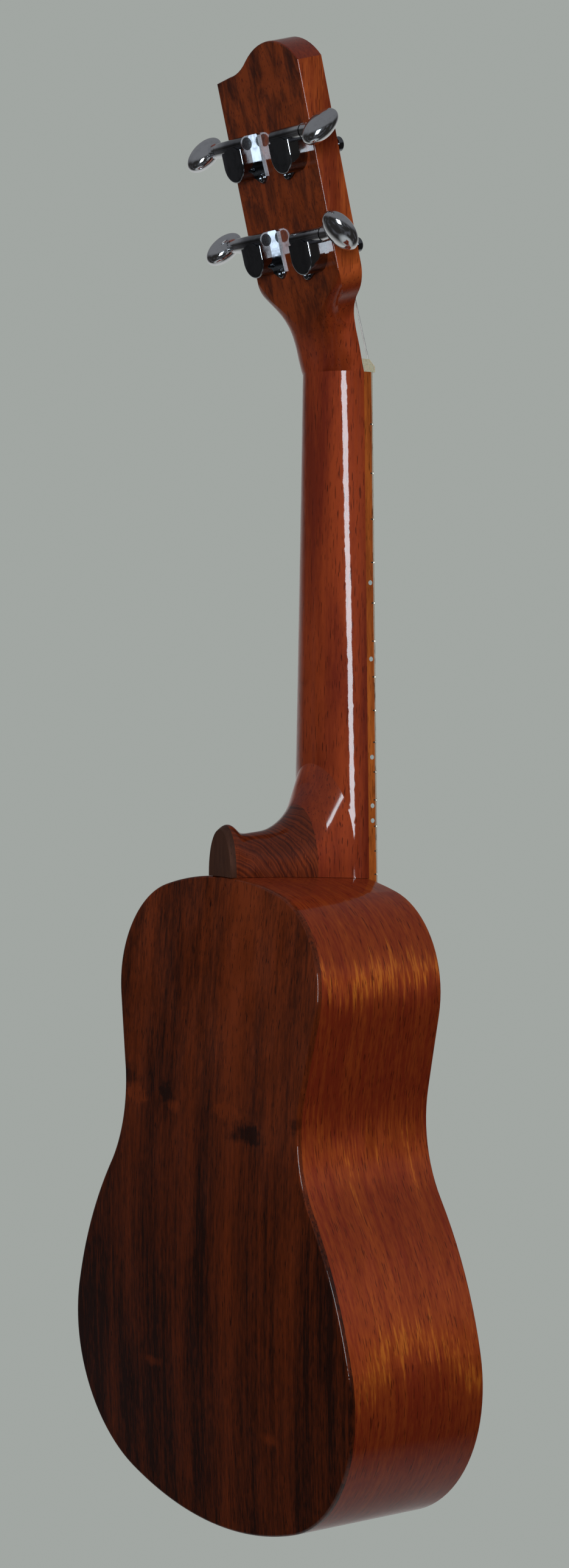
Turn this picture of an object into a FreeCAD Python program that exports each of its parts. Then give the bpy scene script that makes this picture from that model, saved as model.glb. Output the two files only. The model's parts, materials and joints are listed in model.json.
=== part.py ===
import FreeCAD, Part
import math
import os

from FreeCAD import Matrix, Rotation, Vector

# A concert ukulele, hanging by its headstock.  Millimetres.
#   origin  centre plane, at the nut end of the fingerboard, on the neck's front face
#   +Z      up, from the body towards the head
#   +Y      towards the back of the instrument, so the strings are on the -Y side
#   +X      towards the treble side (first string), so -X is the bass side

# ---------------------------------------------------------------- driving dimensions
SCALE_LENGTH = 381.0          # nut to saddle, 15 inches
NECK_JOINT_FRET = 14
FRET_COUNT = 18

# Body outline: tangent arcs down the treble half from the neck joint, as
# (radius, turn in degrees); a negative turn is hollow.  The last arc closes on the axis.
BODY_ARCS = [(172.7, 15.11), (43.2, 86.89), (2974.0, -0.63), (60.1, -46.88), (185.0, 21.52), (67.9, 84.34)]
DEPTH_AT_NECK = 60.6
DEPTH_AT_TAIL = 67.2
BACK_ARCH_RADIUS = 1650.0     # the back is arched along its length
PLATE = 2.0                   # soundboard and side thickness
BACK_THICKNESS = 2.2
EDGE_ROUND = 1.0
GLUE_GAP = 0.1                # between curved faces that are glued together

SOUND_HOLE_RADIUS = 29.0
SOUND_HOLE_BELOW_JOINT = 88.0
ROSETTE_RINGS = [(32.0, 32.8), (34.0, 36.6), (37.8, 38.6)]
ROSETTE_DEPTH = 0.8

LINING = 5.0
BLOCK_HALF_WIDTH = 27.0
NECK_BLOCK_LENGTH = 18.0
TAIL_BLOCK_LENGTH = 12.0

FINGERBOARD_THICKNESS = 4.5
FINGERBOARD_LENGTH = 252.0
HALF_WIDTH_AT_NUT = 17.3
HALF_WIDTH_AT_JOINT = 24.6
FRET_HEIGHT = 0.8
FRET_WIDTH = 1.9
TANG_WIDTH = 0.5
TANG_DEPTH = 1.6
DOT_FRETS = [(5, 1), (7, 1), (10, 1), (12, 2), (15, 1)]
SIDE_DOT_RADIUS = 1.0
FACE_DOT_RADIUS = 2.5
DOT_DEPTH = 1.2

NUT_THICKNESS = 5.1
NUT_HEIGHT = 5.8              # above the neck's front face
STRING_SEAT_HEIGHT = 5.45     # bottom of the strings at the nut
STRING_RADII = [0.33, 0.41, 0.46, 0.33]     # first string (treble) to fourth
STRING_PITCH_AT_NUT = 9.2
STRING_PITCH_AT_SADDLE = 14.0
STRING_BEND_RADIUS = 3.0

NECK_DEPTH = 14.5             # wood behind the fingerboard
NECK_DEPTH_AT_HEEL = 14.1
NECK_SQUARENESS = 2.2
PLANK_DEPTH = 22.0            # the neck's plank; the heel block is stacked behind it
HEEL_CAP_THICKNESS = 3.0
HEEL_CAP_PROUD = 1.5          # the cap stands this much behind the back plate
HEEL_THROAT_RADIUS = 30.0
HEEL_THROAT_Y = 45.5          # where the throat is lowest
HEEL_LENGTH = 18.4            # below the throat, along the neck
HEEL_HALF_WIDTH = 8.4         # at the cap
HEEL_CAP_FLARE = 0.08
HEEL_BLEND_Y = 17.0           # in front of this the heel runs out into the neck
DOWEL_RADIUS = 4.0
DOWEL_DEPTHS = [11.0, 34.0]
DOWEL_REACH = 13.0

HEAD_ANGLE = 15.0
HEAD_THICKNESS = 12.2
HEAD_HALF_WIDTH = 29.4
HEAD_SHOULDER = 20.0          # along the head, where its sides begin to flare
HEAD_FLARE_END = 43.0
HEAD_CORNER = 124.0
HEAD_CREST = (-9.5, 10.0)     # sideways, and above the corner
HEAD_BEND = (6.5, 5.2)        # where the crown's hollow turns into its hump
HEAD_LEDGE = (19.5, 1.0)      # where the hollow starts
HEAD_THROAT_HALF_WIDTH = 17.6
HEAD_EDGE_ROUND = 0.7
# The neck swells into a block wider and thicker than the head, which the head is cut from:
# sections up the head as (place along it, half width, depth, squareness).
HEAD_SECTIONS = [(6.0, 17.4, 13.45, 2.5), (13.0, 17.55, 12.45, 3.0), (20.0, 17.6, 12.17, 3.7),
                 (27.0, 20.4, 12.35, 4.6), (35.0, 28.5, 12.75, 5.5), (46.0, 33.5, 13.3, 7.0),
                 (60.0, 37.0, 14.2, 8.0)]

POST_X = 17.0
POST_PLACES = [52.5, 91.0, 90.0, 50.0]      # along the head, for string 1 to 4
POST_RADIUS = 3.0
POST_TIP = 22.7               # below the head's back face
RUNNING_GAP = 0.08
BUSHING_RADIUS = 4.6

GEAR_TEETH = 14
GEAR_PITCH_RADIUS = 5.46
WORM_PITCH_RADIUS = 1.7
ADDENDUM = 0.55
DEDENDUM = 0.75
GEAR_WIDTH = 3.2
WORM_HEIGHT = 4.6             # of the worm's axis and the gear's middle above the head's back
WORM_SHAFT_RADIUS = 1.5
WORM_HALF_LENGTH = 4.6
TUBE_RADIUS = 3.1
TUBE_BORE = 2.5
HOUSING_RADIUS = 7.0
HOUSING_HEIGHT = 8.8
CAVITY_RADIUS = 6.4
BASE_PLATE = 1.0
TUBE_END = 13.6
BUTTON_CENTRE = 25.0
BUTTON_HALF_SIZES = (7.0, 4.8, 9.4)         # along the shaft, thick, across
TUNER_SCREW_PLACE = (-8.2, -7.2)
# Rest turn of each button about its shaft, for the tuner of string 1 to 4.
BUTTON_TURNS = [-65.0, -60.0, -60.0, 32.0]

SADDLE_THICKNESS = 2.4
SADDLE_HEIGHT = 10.3
SADDLE_HALF_LENGTH = 29.0
BRIDGE_HALF_LENGTH = 42.0
BRIDGE_BLOCK_HALF_LENGTH = 31.0
BRIDGE_BLOCK_HEIGHT = 7.2
BRIDGE_WING_HEIGHT = 3.0
TIE_HOLE_HEIGHT = 3.4
KNOT_RADIUS = 1.6

# ---------------------------------------------------------------- derived places
FAR = 400.0


def fret_distance(fret):
    """Distance of a fret from the nut."""
    return SCALE_LENGTH * (1.0 - 2.0 ** (-fret / 12.0))


JOINT_Z = -fret_distance(NECK_JOINT_FRET)
GEAR_TO_WORM = GEAR_PITCH_RADIUS + WORM_PITCH_RADIUS
THREAD_PITCH = 2.0 * math.pi * GEAR_PITCH_RADIUS / GEAR_TEETH
SADDLE_Z = -SCALE_LENGTH - 1.5


def export(name, *shapes):
    """Write one sub-part; a group of equal pieces is written as separate solids."""
    solids = []
    for shape in shapes:
        solids.extend(shape.Solids)
    result = solids[0] if len(solids) == 1 else Part.makeCompound(solids)
    if not result.isValid():
        print("NOT VALID:", name)
    box = result.BoundBox
    print("%-22s solids %2d volume %9.1f  x %7.1f %7.1f  y %6.1f %6.1f  z %7.1f %7.1f" % (
        name, len(solids), result.Volume, box.XMin, box.XMax, box.YMin, box.YMax, box.ZMin, box.ZMax))
    result.exportStep("parts/" + name + ".step")


def block(x0, x1, y0, y1, z0, z1):
    """A box between two corners."""
    return Part.makeBox(x1 - x0, y1 - y0, z1 - z0, Vector(x0, y0, z0))


def rod(start, end, radius):
    """A round bar between two points."""
    axis = end - start
    return Part.makeCylinder(radius, axis.Length, start, axis)


def arc(start, middle, end):
    """A circular arc through three points."""
    return Part.Arc(start, middle, end).toShape()


def segment(start, end):
    """A straight edge."""
    return Part.makeLine(start, end)


def prism(edges, depth):
    """A closed flat outline, thickened towards +Y."""
    face = Part.Face(Part.Wire(Part.__sortEdges__(edges)))
    return face.extrude(Vector(0, depth, 0))


def half_widths(z):
    """Half width of neck and fingerboard at a height."""
    return HALF_WIDTH_AT_NUT + (HALF_WIDTH_AT_JOINT - HALF_WIDTH_AT_NUT) * z / JOINT_Z


def string_x(number, pitch):
    """Sideways place of string 1 to 4."""
    return (2.5 - number) * pitch


# ---------------------------------------------------------------- body shell
def half_outline(inset, side):
    """Arcs of one half of the body outline, moved inwards by inset; side is +1 or -1."""
    edges = []
    x, z = 0.0, JOINT_Z
    heading = 0.0
    arcs = [(radius, math.radians(turn)) for radius, turn in BODY_ARCS]
    for index in range(len(arcs) + 1):
        inward = (-math.sin(heading), -math.cos(heading))
        if index < len(arcs):
            radius, turn = arcs[index]
        else:
            radius = -x / inward[0]
            turn = math.pi - heading
        sign = 1.0 if turn > 0 else -1.0
        centre = (x + radius * sign * inward[0], z + radius * sign * inward[1])
        reach = radius - sign * inset
        points = []
        for share in (0.0, 0.5, 1.0):
            angle = heading + turn * share
            px = centre[0] + reach * sign * math.sin(angle)
            pz = centre[1] + reach * sign * math.cos(angle)
            points.append(Vector(side * px, 0, pz))
        if abs(points[2].x) < 1e-4:
            points[2].x = 0.0
        edges.append(arc(*points))
        heading += turn
        x = centre[0] + radius * sign * math.sin(heading)
        z = centre[1] + radius * sign * math.cos(heading)
    return edges


def outline_prism(inset, y0, y1):
    """The body outline, moved inwards by inset, as a block between two depths."""
    edges = half_outline(inset, 1) + half_outline(inset, -1)
    solid = prism(edges, y1 - y0)
    solid.translate(Vector(0, y0, 0))
    return solid


def body_length():
    """Length of the body along the axis."""
    return Part.Compound(half_outline(0.0, 1)).BoundBox.ZLength


def back_cylinder(inset):
    """Everything in front of the arched back's outer face, moved forwards by inset."""
    length = body_length()
    rise = DEPTH_AT_TAIL - DEPTH_AT_NECK
    chord = math.hypot(length, rise)
    middle_y = 0.5 * (DEPTH_AT_NECK + DEPTH_AT_TAIL)
    middle_z = JOINT_Z - 0.5 * length
    drop = math.sqrt(BACK_ARCH_RADIUS ** 2 - 0.25 * chord ** 2)
    centre = Vector(-FAR, middle_y - drop * length / chord, middle_z - drop * rise / chord)
    return Part.makeCylinder(BACK_ARCH_RADIUS - inset, 2 * FAR, centre, Vector(1, 0, 0))


def sound_hole_centre():
    """Centre of the sound hole on the front face."""
    return Vector(0, 0, JOINT_Z - SOUND_HOLE_BELOW_JOINT)


def ring(inner, outer, centre, depth):
    """A flat ring, thickened towards +Y."""
    axis = Vector(0, 1, 0)
    disc = Part.makeCylinder(outer, depth, centre, axis)
    return disc.cut(Part.makeCylinder(inner, depth, centre, axis))


def outer_rim(solid, y, gap):
    """Edges of a plate's rim that lie all along the depth y."""
    found = []
    for edge in solid.Edges:
        box = edge.BoundBox
        if abs(box.YMin - y) < gap and abs(box.YMax - y) < gap and edge.Length > 5.0:
            found.append(edge)
    return found


def soundboard_and_rosette():
    """The front plate with its sound hole, and the rings let into it."""
    plate = outline_prism(0.0, 0.0, PLATE)
    plate = plate.makeFillet(EDGE_ROUND, outer_rim(plate, 0.0, 0.01))
    plate = plate.cut(rod(sound_hole_centre() - Vector(0, 1, 0), sound_hole_centre() + Vector(0, 9, 0),
                          SOUND_HOLE_RADIUS))
    rings = [ring(inner, outer, sound_hole_centre(), ROSETTE_DEPTH) for inner, outer in ROSETTE_RINGS]
    for piece in rings:
        plate = plate.cut(piece)
    return plate, rings


def back_plate():
    """The arched back."""
    plate = outline_prism(0.0, 0.0, 2 * DEPTH_AT_TAIL)
    plate = plate.common(back_cylinder(0.0)).cut(back_cylinder(BACK_THICKNESS))
    outer = [edge for edge in plate.Edges
             if edge.Length > 5.0 and back_cylinder(0.0).Shells[0].distToShape(
                 Part.Vertex(edge.valueAt(0.5 * (edge.FirstParameter + edge.LastParameter))))[0] < 0.01]
    return plate.makeFillet(EDGE_ROUND, outer)


def bent_side(side):
    """One bent side, from the middle of the neck end to the middle of the tail."""
    ring_solid = outline_prism(0.0, PLATE, 2 * DEPTH_AT_TAIL).cut(outline_prism(PLATE, 0.0, 3 * DEPTH_AT_TAIL))
    half = block(0.0, FAR, -FAR, FAR, -2 * FAR, FAR)
    if side < 0:
        half = block(-FAR, 0.0, -FAR, FAR, -2 * FAR, FAR)
    return ring_solid.common(back_cylinder(BACK_THICKNESS)).common(half).cut(dowels(GLUE_GAP))


# ---------------------------------------------------------------- inside the body
def inside(inset):
    """The room between the sides, inset from their outer faces, and between the plates."""
    return outline_prism(inset, PLATE, 2 * DEPTH_AT_TAIL).common(back_cylinder(BACK_THICKNESS))


def end_block(z0, z1):
    """A block that joins the two sides at one end of the body."""
    piece = block(-BLOCK_HALF_WIDTH, BLOCK_HALF_WIDTH, 0, FAR, z0, z1)
    return piece.common(inside(PLATE + GLUE_GAP)).cut(dowels(GLUE_GAP))


def blocks_space():
    """Room taken by both end blocks, with a little clearance."""
    half = BLOCK_HALF_WIDTH + GLUE_GAP
    bottom = JOINT_Z - body_length()
    top_space = block(-half, half, 0, FAR, JOINT_Z - PLATE - NECK_BLOCK_LENGTH - GLUE_GAP, FAR)
    return top_space.fuse(block(-half, half, 0, FAR, -2 * FAR, bottom + PLATE + TAIL_BLOCK_LENGTH + GLUE_GAP))


def lining_strips(front):
    """Strips glued in the corner between the sides and one plate."""
    outer = inside(PLATE + GLUE_GAP)
    strip = outer.cut(outline_prism(PLATE + GLUE_GAP + LINING, -1.0, FAR))
    if front:
        strip = strip.common(block(-FAR, FAR, PLATE, PLATE + LINING, -2 * FAR, FAR))
    else:
        strip = strip.cut(back_cylinder(BACK_THICKNESS + LINING))
    return strip.cut(blocks_space())


def brace_room():
    """Room for braces, clear of the strips."""
    return inside(PLATE + LINING + 3 * GLUE_GAP)


def soundboard_brace(below_joint):
    """A bar across the soundboard."""
    z = JOINT_Z - below_joint
    return block(-FAR, FAR, PLATE, PLATE + 9.0, z - 3.0, z + 3.0).common(brace_room())


def bridge_plate():
    """The thin plate under the bridge."""
    return block(-44.0, 44.0, PLATE, PLATE + 2.0, SADDLE_Z - 18.0, SADDLE_Z + 10.0)


def fan_brace(angle):
    """A long bar under the lower part of the soundboard, notched over the bridge plate."""
    start = JOINT_Z - 131.0
    bar = block(-2.5, 2.5, PLATE, PLATE + 6.0, start - 125.0, start)
    bar.rotate(Vector(0, 0, start), Vector(0, 1, 0), angle)
    bar.translate(Vector(-1.4 * angle, 0, 0))
    return bar.common(block(-FAR, FAR, -FAR, FAR, -2 * FAR, start)).cut(bridge_plate())


def back_brace(below_joint):
    """A bar across the back, shaped to its arch."""
    z = JOINT_Z - below_joint
    bar = block(-FAR, FAR, 0, FAR, z - 3.5, z + 3.5).common(brace_room())
    return bar.cut(back_cylinder(BACK_THICKNESS + 10.0))


def back_strip(braces):
    """The thin strip along the back's centre seam, cut at each brace."""
    strip = block(-7.0, 7.0, 0, FAR, -2 * FAR, FAR).common(inside(PLATE + GLUE_GAP))
    strip = strip.cut(back_cylinder(BACK_THICKNESS + 1.8)).cut(blocks_space())
    for brace in braces:
        box = brace.BoundBox
        strip = strip.cut(block(-FAR, FAR, -FAR, FAR, box.ZMin - GLUE_GAP, box.ZMax + GLUE_GAP))
    return strip


# ---------------------------------------------------------------- neck, heel and head
def tilt(shape):
    """Lean a shape that is drawn with an upright head back by the head's angle."""
    leaned = shape.copy()
    leaned.rotate(Vector(0, 0, 0), Vector(1, 0, 0), -HEAD_ANGLE)
    return leaned


def neck_section(half_width, depth, squareness, z):
    """A flat-fronted section with a rounded back: an ellipse at squareness 2, a box when high."""
    steps = 24
    points = []
    for step in range(steps + 1):
        angle = math.pi * step / steps
        across = math.cos(angle)
        deep = math.sin(angle) if step < steps else 0.0
        reach = (abs(across) ** squareness + deep ** squareness) ** (-1.0 / squareness)
        points.append(Vector(half_width * reach * across, depth * reach * deep, z))
    curve = Part.BSplineCurve()
    curve.interpolate(points)
    return Part.Wire([curve.toShape(), segment(points[-1], points[0])])


def heel_height(y):
    """Reach of the heel above the body at a depth: its throat is a circular arc."""
    if y >= HEEL_THROAT_Y:
        return HEEL_LENGTH + HEEL_CAP_FLARE * (y - HEEL_THROAT_Y)
    deepest = max(y, HEEL_BLEND_Y)
    drop = math.sqrt(HEEL_THROAT_RADIUS ** 2 - (HEEL_THROAT_Y - deepest) ** 2)
    return HEEL_LENGTH + HEEL_THROAT_RADIUS - drop + 3.0 * (deepest - y)


def heel_section(y):
    """Outline of the heel, seen from the back, at a depth."""
    height = heel_height(y)
    share = max(1.0 - y / DEPTH_AT_NECK, 0.0)
    half_width = HEEL_HALF_WIDTH + (HALF_WIDTH_AT_JOINT - HEEL_HALF_WIDTH) * share ** 1.35
    points = []
    steps = 14
    for step in range(steps + 1):
        angle = math.pi * step / steps
        points.append(Vector(half_width * math.cos(angle), y, JOINT_Z + height * math.sin(angle) ** 0.9))
    curve = Part.BSplineCurve()
    curve.interpolate(points)
    left = Vector(-half_width, y, JOINT_Z - 6.0)
    right = Vector(half_width, y, JOINT_Z - 6.0)
    return Part.Wire([curve.toShape(), segment(points[-1], left), segment(left, right),
                      segment(right, points[0])])


def heel():
    """The whole heel, before it is cut at its glue lines and fitted to the body."""
    root = Part.makeLoft([heel_section(1.0), heel_section(HEEL_BLEND_Y)], True, True)
    deep = DEPTH_AT_NECK + HEEL_CAP_PROUD + 0.3
    depths = [HEEL_BLEND_Y, 18.5, 20.5, 23.0, 26.5, 31.0, 37.0, HEEL_THROAT_Y, 53.0, deep]
    curved = Part.makeLoft([heel_section(y) for y in depths], True, False)
    return root.fuse(curved).cut(outline_prism(-GLUE_GAP, -FAR, FAR))


def dowels(clearance):
    """The two dowels that pin the heel to the neck block."""
    pins = []
    for y in DOWEL_DEPTHS:
        low = Vector(0, y, JOINT_Z - PLATE - NECK_BLOCK_LENGTH + 2.0 - clearance)
        high = Vector(0, y, JOINT_Z + DOWEL_REACH + clearance)
        pins.append(rod(low, high, DOWEL_RADIUS + 0.5 * clearance))
    return Part.makeCompound(pins)


def neck_shaft():
    """The straight part of the neck."""
    low = JOINT_Z - 6.0
    sections = [neck_section(half_widths(low), NECK_DEPTH_AT_HEEL, NECK_SQUARENESS, low),
                neck_section(half_widths(0.0), NECK_DEPTH, NECK_SQUARENESS, 0.0)]
    return Part.makeLoft(sections, True, True).cut(outline_prism(-GLUE_GAP, -FAR, FAR))


def head_swell():
    """The block that the neck grows into at the head, flat in front."""
    sections = [neck_section(HALF_WIDTH_AT_NUT, NECK_DEPTH, NECK_SQUARENESS, 0.0)]
    for along, half_width, depth, squareness in HEAD_SECTIONS:
        sections.append(tilt(neck_section(half_width, depth, squareness, along)))
    in_front = tilt(block(-FAR, FAR, -FAR, 0.0, -5.0, FAR)).common(block(-FAR, FAR, -FAR, FAR, 0.0, FAR))
    return Part.makeLoft(sections, True, False).cut(in_front)


def head_plate():
    """The flat head with its wave-shaped top, drawn upright."""
    edges = []
    middle_along = 0.5 * (HEAD_SHOULDER + HEAD_FLARE_END)
    middle_x = 0.5 * (HEAD_THROAT_HALF_WIDTH + HEAD_HALF_WIDTH)
    for side in (1, -1):
        low = Vector(side * HEAD_THROAT_HALF_WIDTH, 0, HEAD_SHOULDER)
        bend = Vector(side * middle_x, 0, middle_along)
        high = Vector(side * HEAD_HALF_WIDTH, 0, HEAD_FLARE_END)
        corner = Vector(side * HEAD_HALF_WIDTH, 0, HEAD_CORNER)
        edges.append(quarter_bend(low, bend, side, 1))
        edges.append(quarter_bend(high, bend, side, -1))
        edges.append(segment(high, corner))
    edges.append(segment(Vector(HEAD_THROAT_HALF_WIDTH, 0, HEAD_SHOULDER),
                         Vector(-HEAD_THROAT_HALF_WIDTH, 0, HEAD_SHOULDER)))
    corner = Vector(HEAD_HALF_WIDTH, 0, HEAD_CORNER)
    ledge = Vector(HEAD_LEDGE[0], 0, HEAD_CORNER + HEAD_LEDGE[1])
    bend = Vector(HEAD_BEND[0], 0, HEAD_CORNER + HEAD_BEND[1])
    crest = Vector(HEAD_CREST[0], 0, HEAD_CORNER + HEAD_CREST[1])
    far_corner = Vector(-HEAD_HALF_WIDTH, 0, HEAD_CORNER)
    edges.append(segment(corner, ledge))
    edges.append(level_arc(ledge, bend))
    edges.append(level_arc(crest, bend))
    edges.append(level_arc(crest, far_corner))
    plate = prism(edges, HEAD_THICKNESS)
    rims = [edge for edge in outer_rim(plate, HEAD_THICKNESS, 0.01) if edge.CenterOfMass.z > HEAD_SHOULDER + 0.01]
    return plate.makeFillet(HEAD_EDGE_ROUND, rims)


def level_arc(level, end):
    """An arc in the XZ plane that leaves its first point level."""
    dx = end.x - level.x
    dz = end.z - level.z
    radius = (dx * dx + dz * dz) / (2.0 * dz)
    half_turn = 0.5 * math.asin(abs(dx / radius))
    middle = Vector(level.x + math.copysign(radius * math.sin(half_turn), dx), 0,
                    level.z + radius * (1.0 - math.cos(half_turn)))
    return arc(level, middle, end)


def quarter_bend(end, bend, side, direction):
    """Half of an S-curve: it leaves its end point upright and reaches the bend's slope."""
    dx = abs(bend.x - end.x)
    dz = abs(bend.z - end.z)
    radius = (dx * dx + dz * dz) / (2.0 * dx)
    centre = Vector(end.x + side * direction * radius, 0, end.z)
    half_turn = 0.5 * math.asin(dz / radius)
    middle = Vector(centre.x - side * direction * radius * math.cos(half_turn), 0,
                    centre.z + direction * radius * math.sin(half_turn))
    return arc(end, middle, bend)


def tuner_place(number):
    """Side (+1 treble, -1 bass) and place along the head of the tuner for string 1 to 4."""
    side = 1 if number <= 2 else -1
    return side, POST_PLACES[number - 1]


def head():
    """The drilled head, cut from the swell at the end of the neck."""
    plate = head_plate()
    for number in (1, 2, 3, 4):
        side, along = tuner_place(number)
        spot = Vector(side * POST_X, -1.0, along)
        plate = plate.cut(Part.makeCylinder(BUSHING_RADIUS + 0.05, FAR, spot, Vector(0, 1, 0)))
        screw = Vector(side * (POST_X + TUNER_SCREW_PLACE[0]), HEAD_THICKNESS, along + TUNER_SCREW_PLACE[1])
        plate = plate.cut(Part.makeCylinder(0.85, 7.0, screw - Vector(0, 7.0, 0), Vector(0, 1, 0)))
    plate = tilt(plate)
    swell = head_swell()
    swell_end = HEAD_SECTIONS[-1][0]
    throat = swell.common(tilt(block(-FAR, FAR, -FAR, FAR, -FAR, HEAD_SHOULDER)))
    upper = plate.common(tilt(block(-FAR, FAR, -FAR, FAR, swell_end, FAR)))
    return throat.fuse([plate.common(swell), upper])


def neck():
    """Shaft, heel plank, throat and head in one piece."""
    plank = heel().common(block(-FAR, FAR, -FAR, PLANK_DEPTH, -2 * FAR, FAR))
    solid = neck_shaft().fuse([plank, head()])
    return solid.cut(dowels(GLUE_GAP)).removeSplitter()


# ---------------------------------------------------------------- fingerboard
def fingerboard_blank():
    """The board before slots and inlays."""
    low = -FINGERBOARD_LENGTH
    corners = [Vector(half_widths(0.0), 0, 0), Vector(half_widths(low), 0, low),
               Vector(-half_widths(low), 0, low), Vector(-half_widths(0.0), 0, 0)]
    edges = [segment(corners[i], corners[(i + 1) % 4]) for i in range(4)]
    board = prism(edges, FINGERBOARD_THICKNESS)
    board.translate(Vector(0, -FINGERBOARD_THICKNESS, 0))
    return board


def fret(number):
    """One fret: a round-topped bar with a tang, its ends bevelled."""
    z = -fret_distance(number)
    reach = half_widths(z)
    radius = (FRET_HEIGHT ** 2 + 0.25 * FRET_WIDTH ** 2) / (2.0 * FRET_HEIGHT)
    top = -FINGERBOARD_THICKNESS - FRET_HEIGHT
    crown = rod(Vector(-reach, top + radius, z), Vector(reach, top + radius, z), radius)
    crown = crown.common(block(-FAR, FAR, -FAR, -FINGERBOARD_THICKNESS, -2 * FAR, FAR))
    for side in (1, -1):
        foot = Vector(side * reach, -FINGERBOARD_THICKNESS + 0.01, z - FRET_WIDTH)
        bevel = Part.makePolygon([foot, foot + Vector(0, -2.0 * FRET_HEIGHT, 0),
                                  foot + Vector(-side * 2.0 * FRET_HEIGHT, -2.0 * FRET_HEIGHT, 0), foot])
        crown = crown.cut(Part.Face(bevel).extrude(Vector(0, 0, 2.0 * FRET_WIDTH)))
    half_tang = 0.5 * TANG_WIDTH
    tang = block(-reach + 0.3, reach - 0.3, -FINGERBOARD_THICKNESS - 0.1,
                 -FINGERBOARD_THICKNESS + TANG_DEPTH, z - half_tang, z + half_tang)
    return crown.fuse(tang)


def fret_slot(number):
    """The saw cut that holds a fret."""
    z = -fret_distance(number)
    half = 0.5 * TANG_WIDTH + 0.02
    return block(-FAR, FAR, -FAR, -FINGERBOARD_THICKNESS + TANG_DEPTH + 0.02, z - half, z + half)


def dot_places():
    """Heights of the position dots, with a sideways step for the double dot."""
    places = []
    for fret_number, count in DOT_FRETS:
        z = -0.5 * (fret_distance(fret_number - 1) + fret_distance(fret_number))
        if count == 1:
            places.append((z, 0.0))
        else:
            places.extend([(z, -1.0), (z, 1.0)])
    return places


def face_dots():
    """Dots let into the front of the board."""
    dots = []
    for z, step in dot_places():
        spot = Vector(step * 8.0, -FINGERBOARD_THICKNESS, z)
        dots.append(Part.makeCylinder(FACE_DOT_RADIUS, DOT_DEPTH, spot, Vector(0, 1, 0)))
    return dots


def side_dots(blank):
    """Dots let into the bass edge of the board, up to the twelfth fret."""
    dots = []
    for z, step in dot_places():
        if -z > fret_distance(12):
            continue
        x = -half_widths(z)
        spot = Vector(x - 3.0, -0.5 * FINGERBOARD_THICKNESS, z + 3.2 * step)
        dots.append(Part.makeCylinder(SIDE_DOT_RADIUS, 3.0 + DOT_DEPTH, spot, Vector(1, 0, 0)).common(blank))
    return dots


def make_fingerboard():
    """Board, frets and dots."""
    blank = fingerboard_blank()
    fronts = face_dots()
    sides = side_dots(blank)
    board = blank
    for number in range(1, FRET_COUNT + 1):
        board = board.cut(fret_slot(number))
    for dot in fronts + sides:
        board = board.cut(dot)
    export("fingerboard", board)
    export("frets", *[fret(number) for number in range(1, FRET_COUNT + 1)])
    export("position_dots", *fronts)
    export("side_dots", *sides)


# ---------------------------------------------------------------- nut, bridge and strings
def string_route(number):
    """Points that a string passes: knot, tie hole, saddle, nut, and beside its post."""
    radius = STRING_RADII[number - 1]
    saddle_x = string_x(number, STRING_PITCH_AT_SADDLE)
    nut_x = string_x(number, STRING_PITCH_AT_NUT)
    side, along = tuner_place(number)
    clear = RUNNING_GAP + 0.32
    wound_x = side * (POST_X - 2.4 - 2 * radius - radius - clear)
    end = Vector(wound_x, -(POST_TIP - HEAD_THICKNESS - 5.5), along - 1.0)
    end = Rotation(Vector(1, 0, 0), -HEAD_ANGLE).multVec(end)
    return [Vector(saddle_x, -TIE_HOLE_HEIGHT, SADDLE_Z - 15.5),
            Vector(saddle_x, -TIE_HOLE_HEIGHT, SADDLE_Z - 7.2),
            Vector(saddle_x, -SADDLE_HEIGHT - radius - 0.02, SADDLE_Z),
            Vector(nut_x, -STRING_SEAT_HEIGHT - radius - 0.02, 0.3),
            Vector(nut_x, -STRING_SEAT_HEIGHT - radius + 0.35, 3.2),
            end]


def string_path(points):
    """A route with each corner rounded by an arc as large as its runs allow."""
    edges = []
    start = points[0]
    for before, corner, after in zip(points, points[1:], points[2:]):
        back = (before - corner).normalize()
        ahead = (after - corner).normalize()
        half_turn = 0.5 * (math.pi - back.getAngle(ahead))
        shorter = min((before - corner).Length, (after - corner).Length)
        reach = min(0.45 * shorter, STRING_BEND_RADIUS * math.tan(half_turn))
        radius = reach / math.tan(half_turn)
        inwards = (back + ahead).normalize()
        middle = corner + inwards * (radius / math.cos(half_turn) - radius)
        edges.append(segment(start, corner + back * reach))
        edges.append(arc(corner + back * reach, middle, corner + ahead * reach))
        start = corner + ahead * reach
    edges.append(segment(start, points[-1]))
    return Part.Wire(edges)


def string_pipe(number, radius):
    """A round tube along a string's whole route."""
    points = string_route(number)
    circle = Part.Wire(Part.makeCircle(radius, points[0], points[1] - points[0]))
    return string_path(points).makePipeShell([circle], True, False)


def string_solid(number):
    """A string from its knot to its post."""
    return string_pipe(number, STRING_RADII[number - 1]).fuse(Part.makeSphere(KNOT_RADIUS, string_route(number)[0]))


def nut():
    """The bone nut, with a slot for each string."""
    outer = half_widths(0.0)
    lean = NUT_THICKNESS * math.tan(math.radians(HEAD_ANGLE))
    profile = [Vector(-outer, 0, 0), Vector(-outer, -NUT_HEIGHT, 0), Vector(-outer, -NUT_HEIGHT, 2.2),
               Vector(-outer, -2.8, NUT_THICKNESS), Vector(-outer, lean, NUT_THICKNESS)]
    wire = Part.makePolygon(profile + [profile[0]])
    solid = Part.Face(wire).extrude(Vector(2 * outer, 0, 0))
    for number in (1, 2, 3, 4):
        points = string_route(number)
        groove = STRING_RADII[number - 1] + 0.06
        for start, end in ((points[2], points[3]), (points[3], points[4]), (points[4], points[5])):
            solid = solid.cut(rod(start, end, groove))
        for point in points[3:5]:
            solid = solid.cut(Part.makeSphere(groove, point))
            solid = solid.cut(block(point.x - groove, point.x + groove, -9.0, point.y, -1.0, point.z + 0.4))
    return solid


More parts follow.
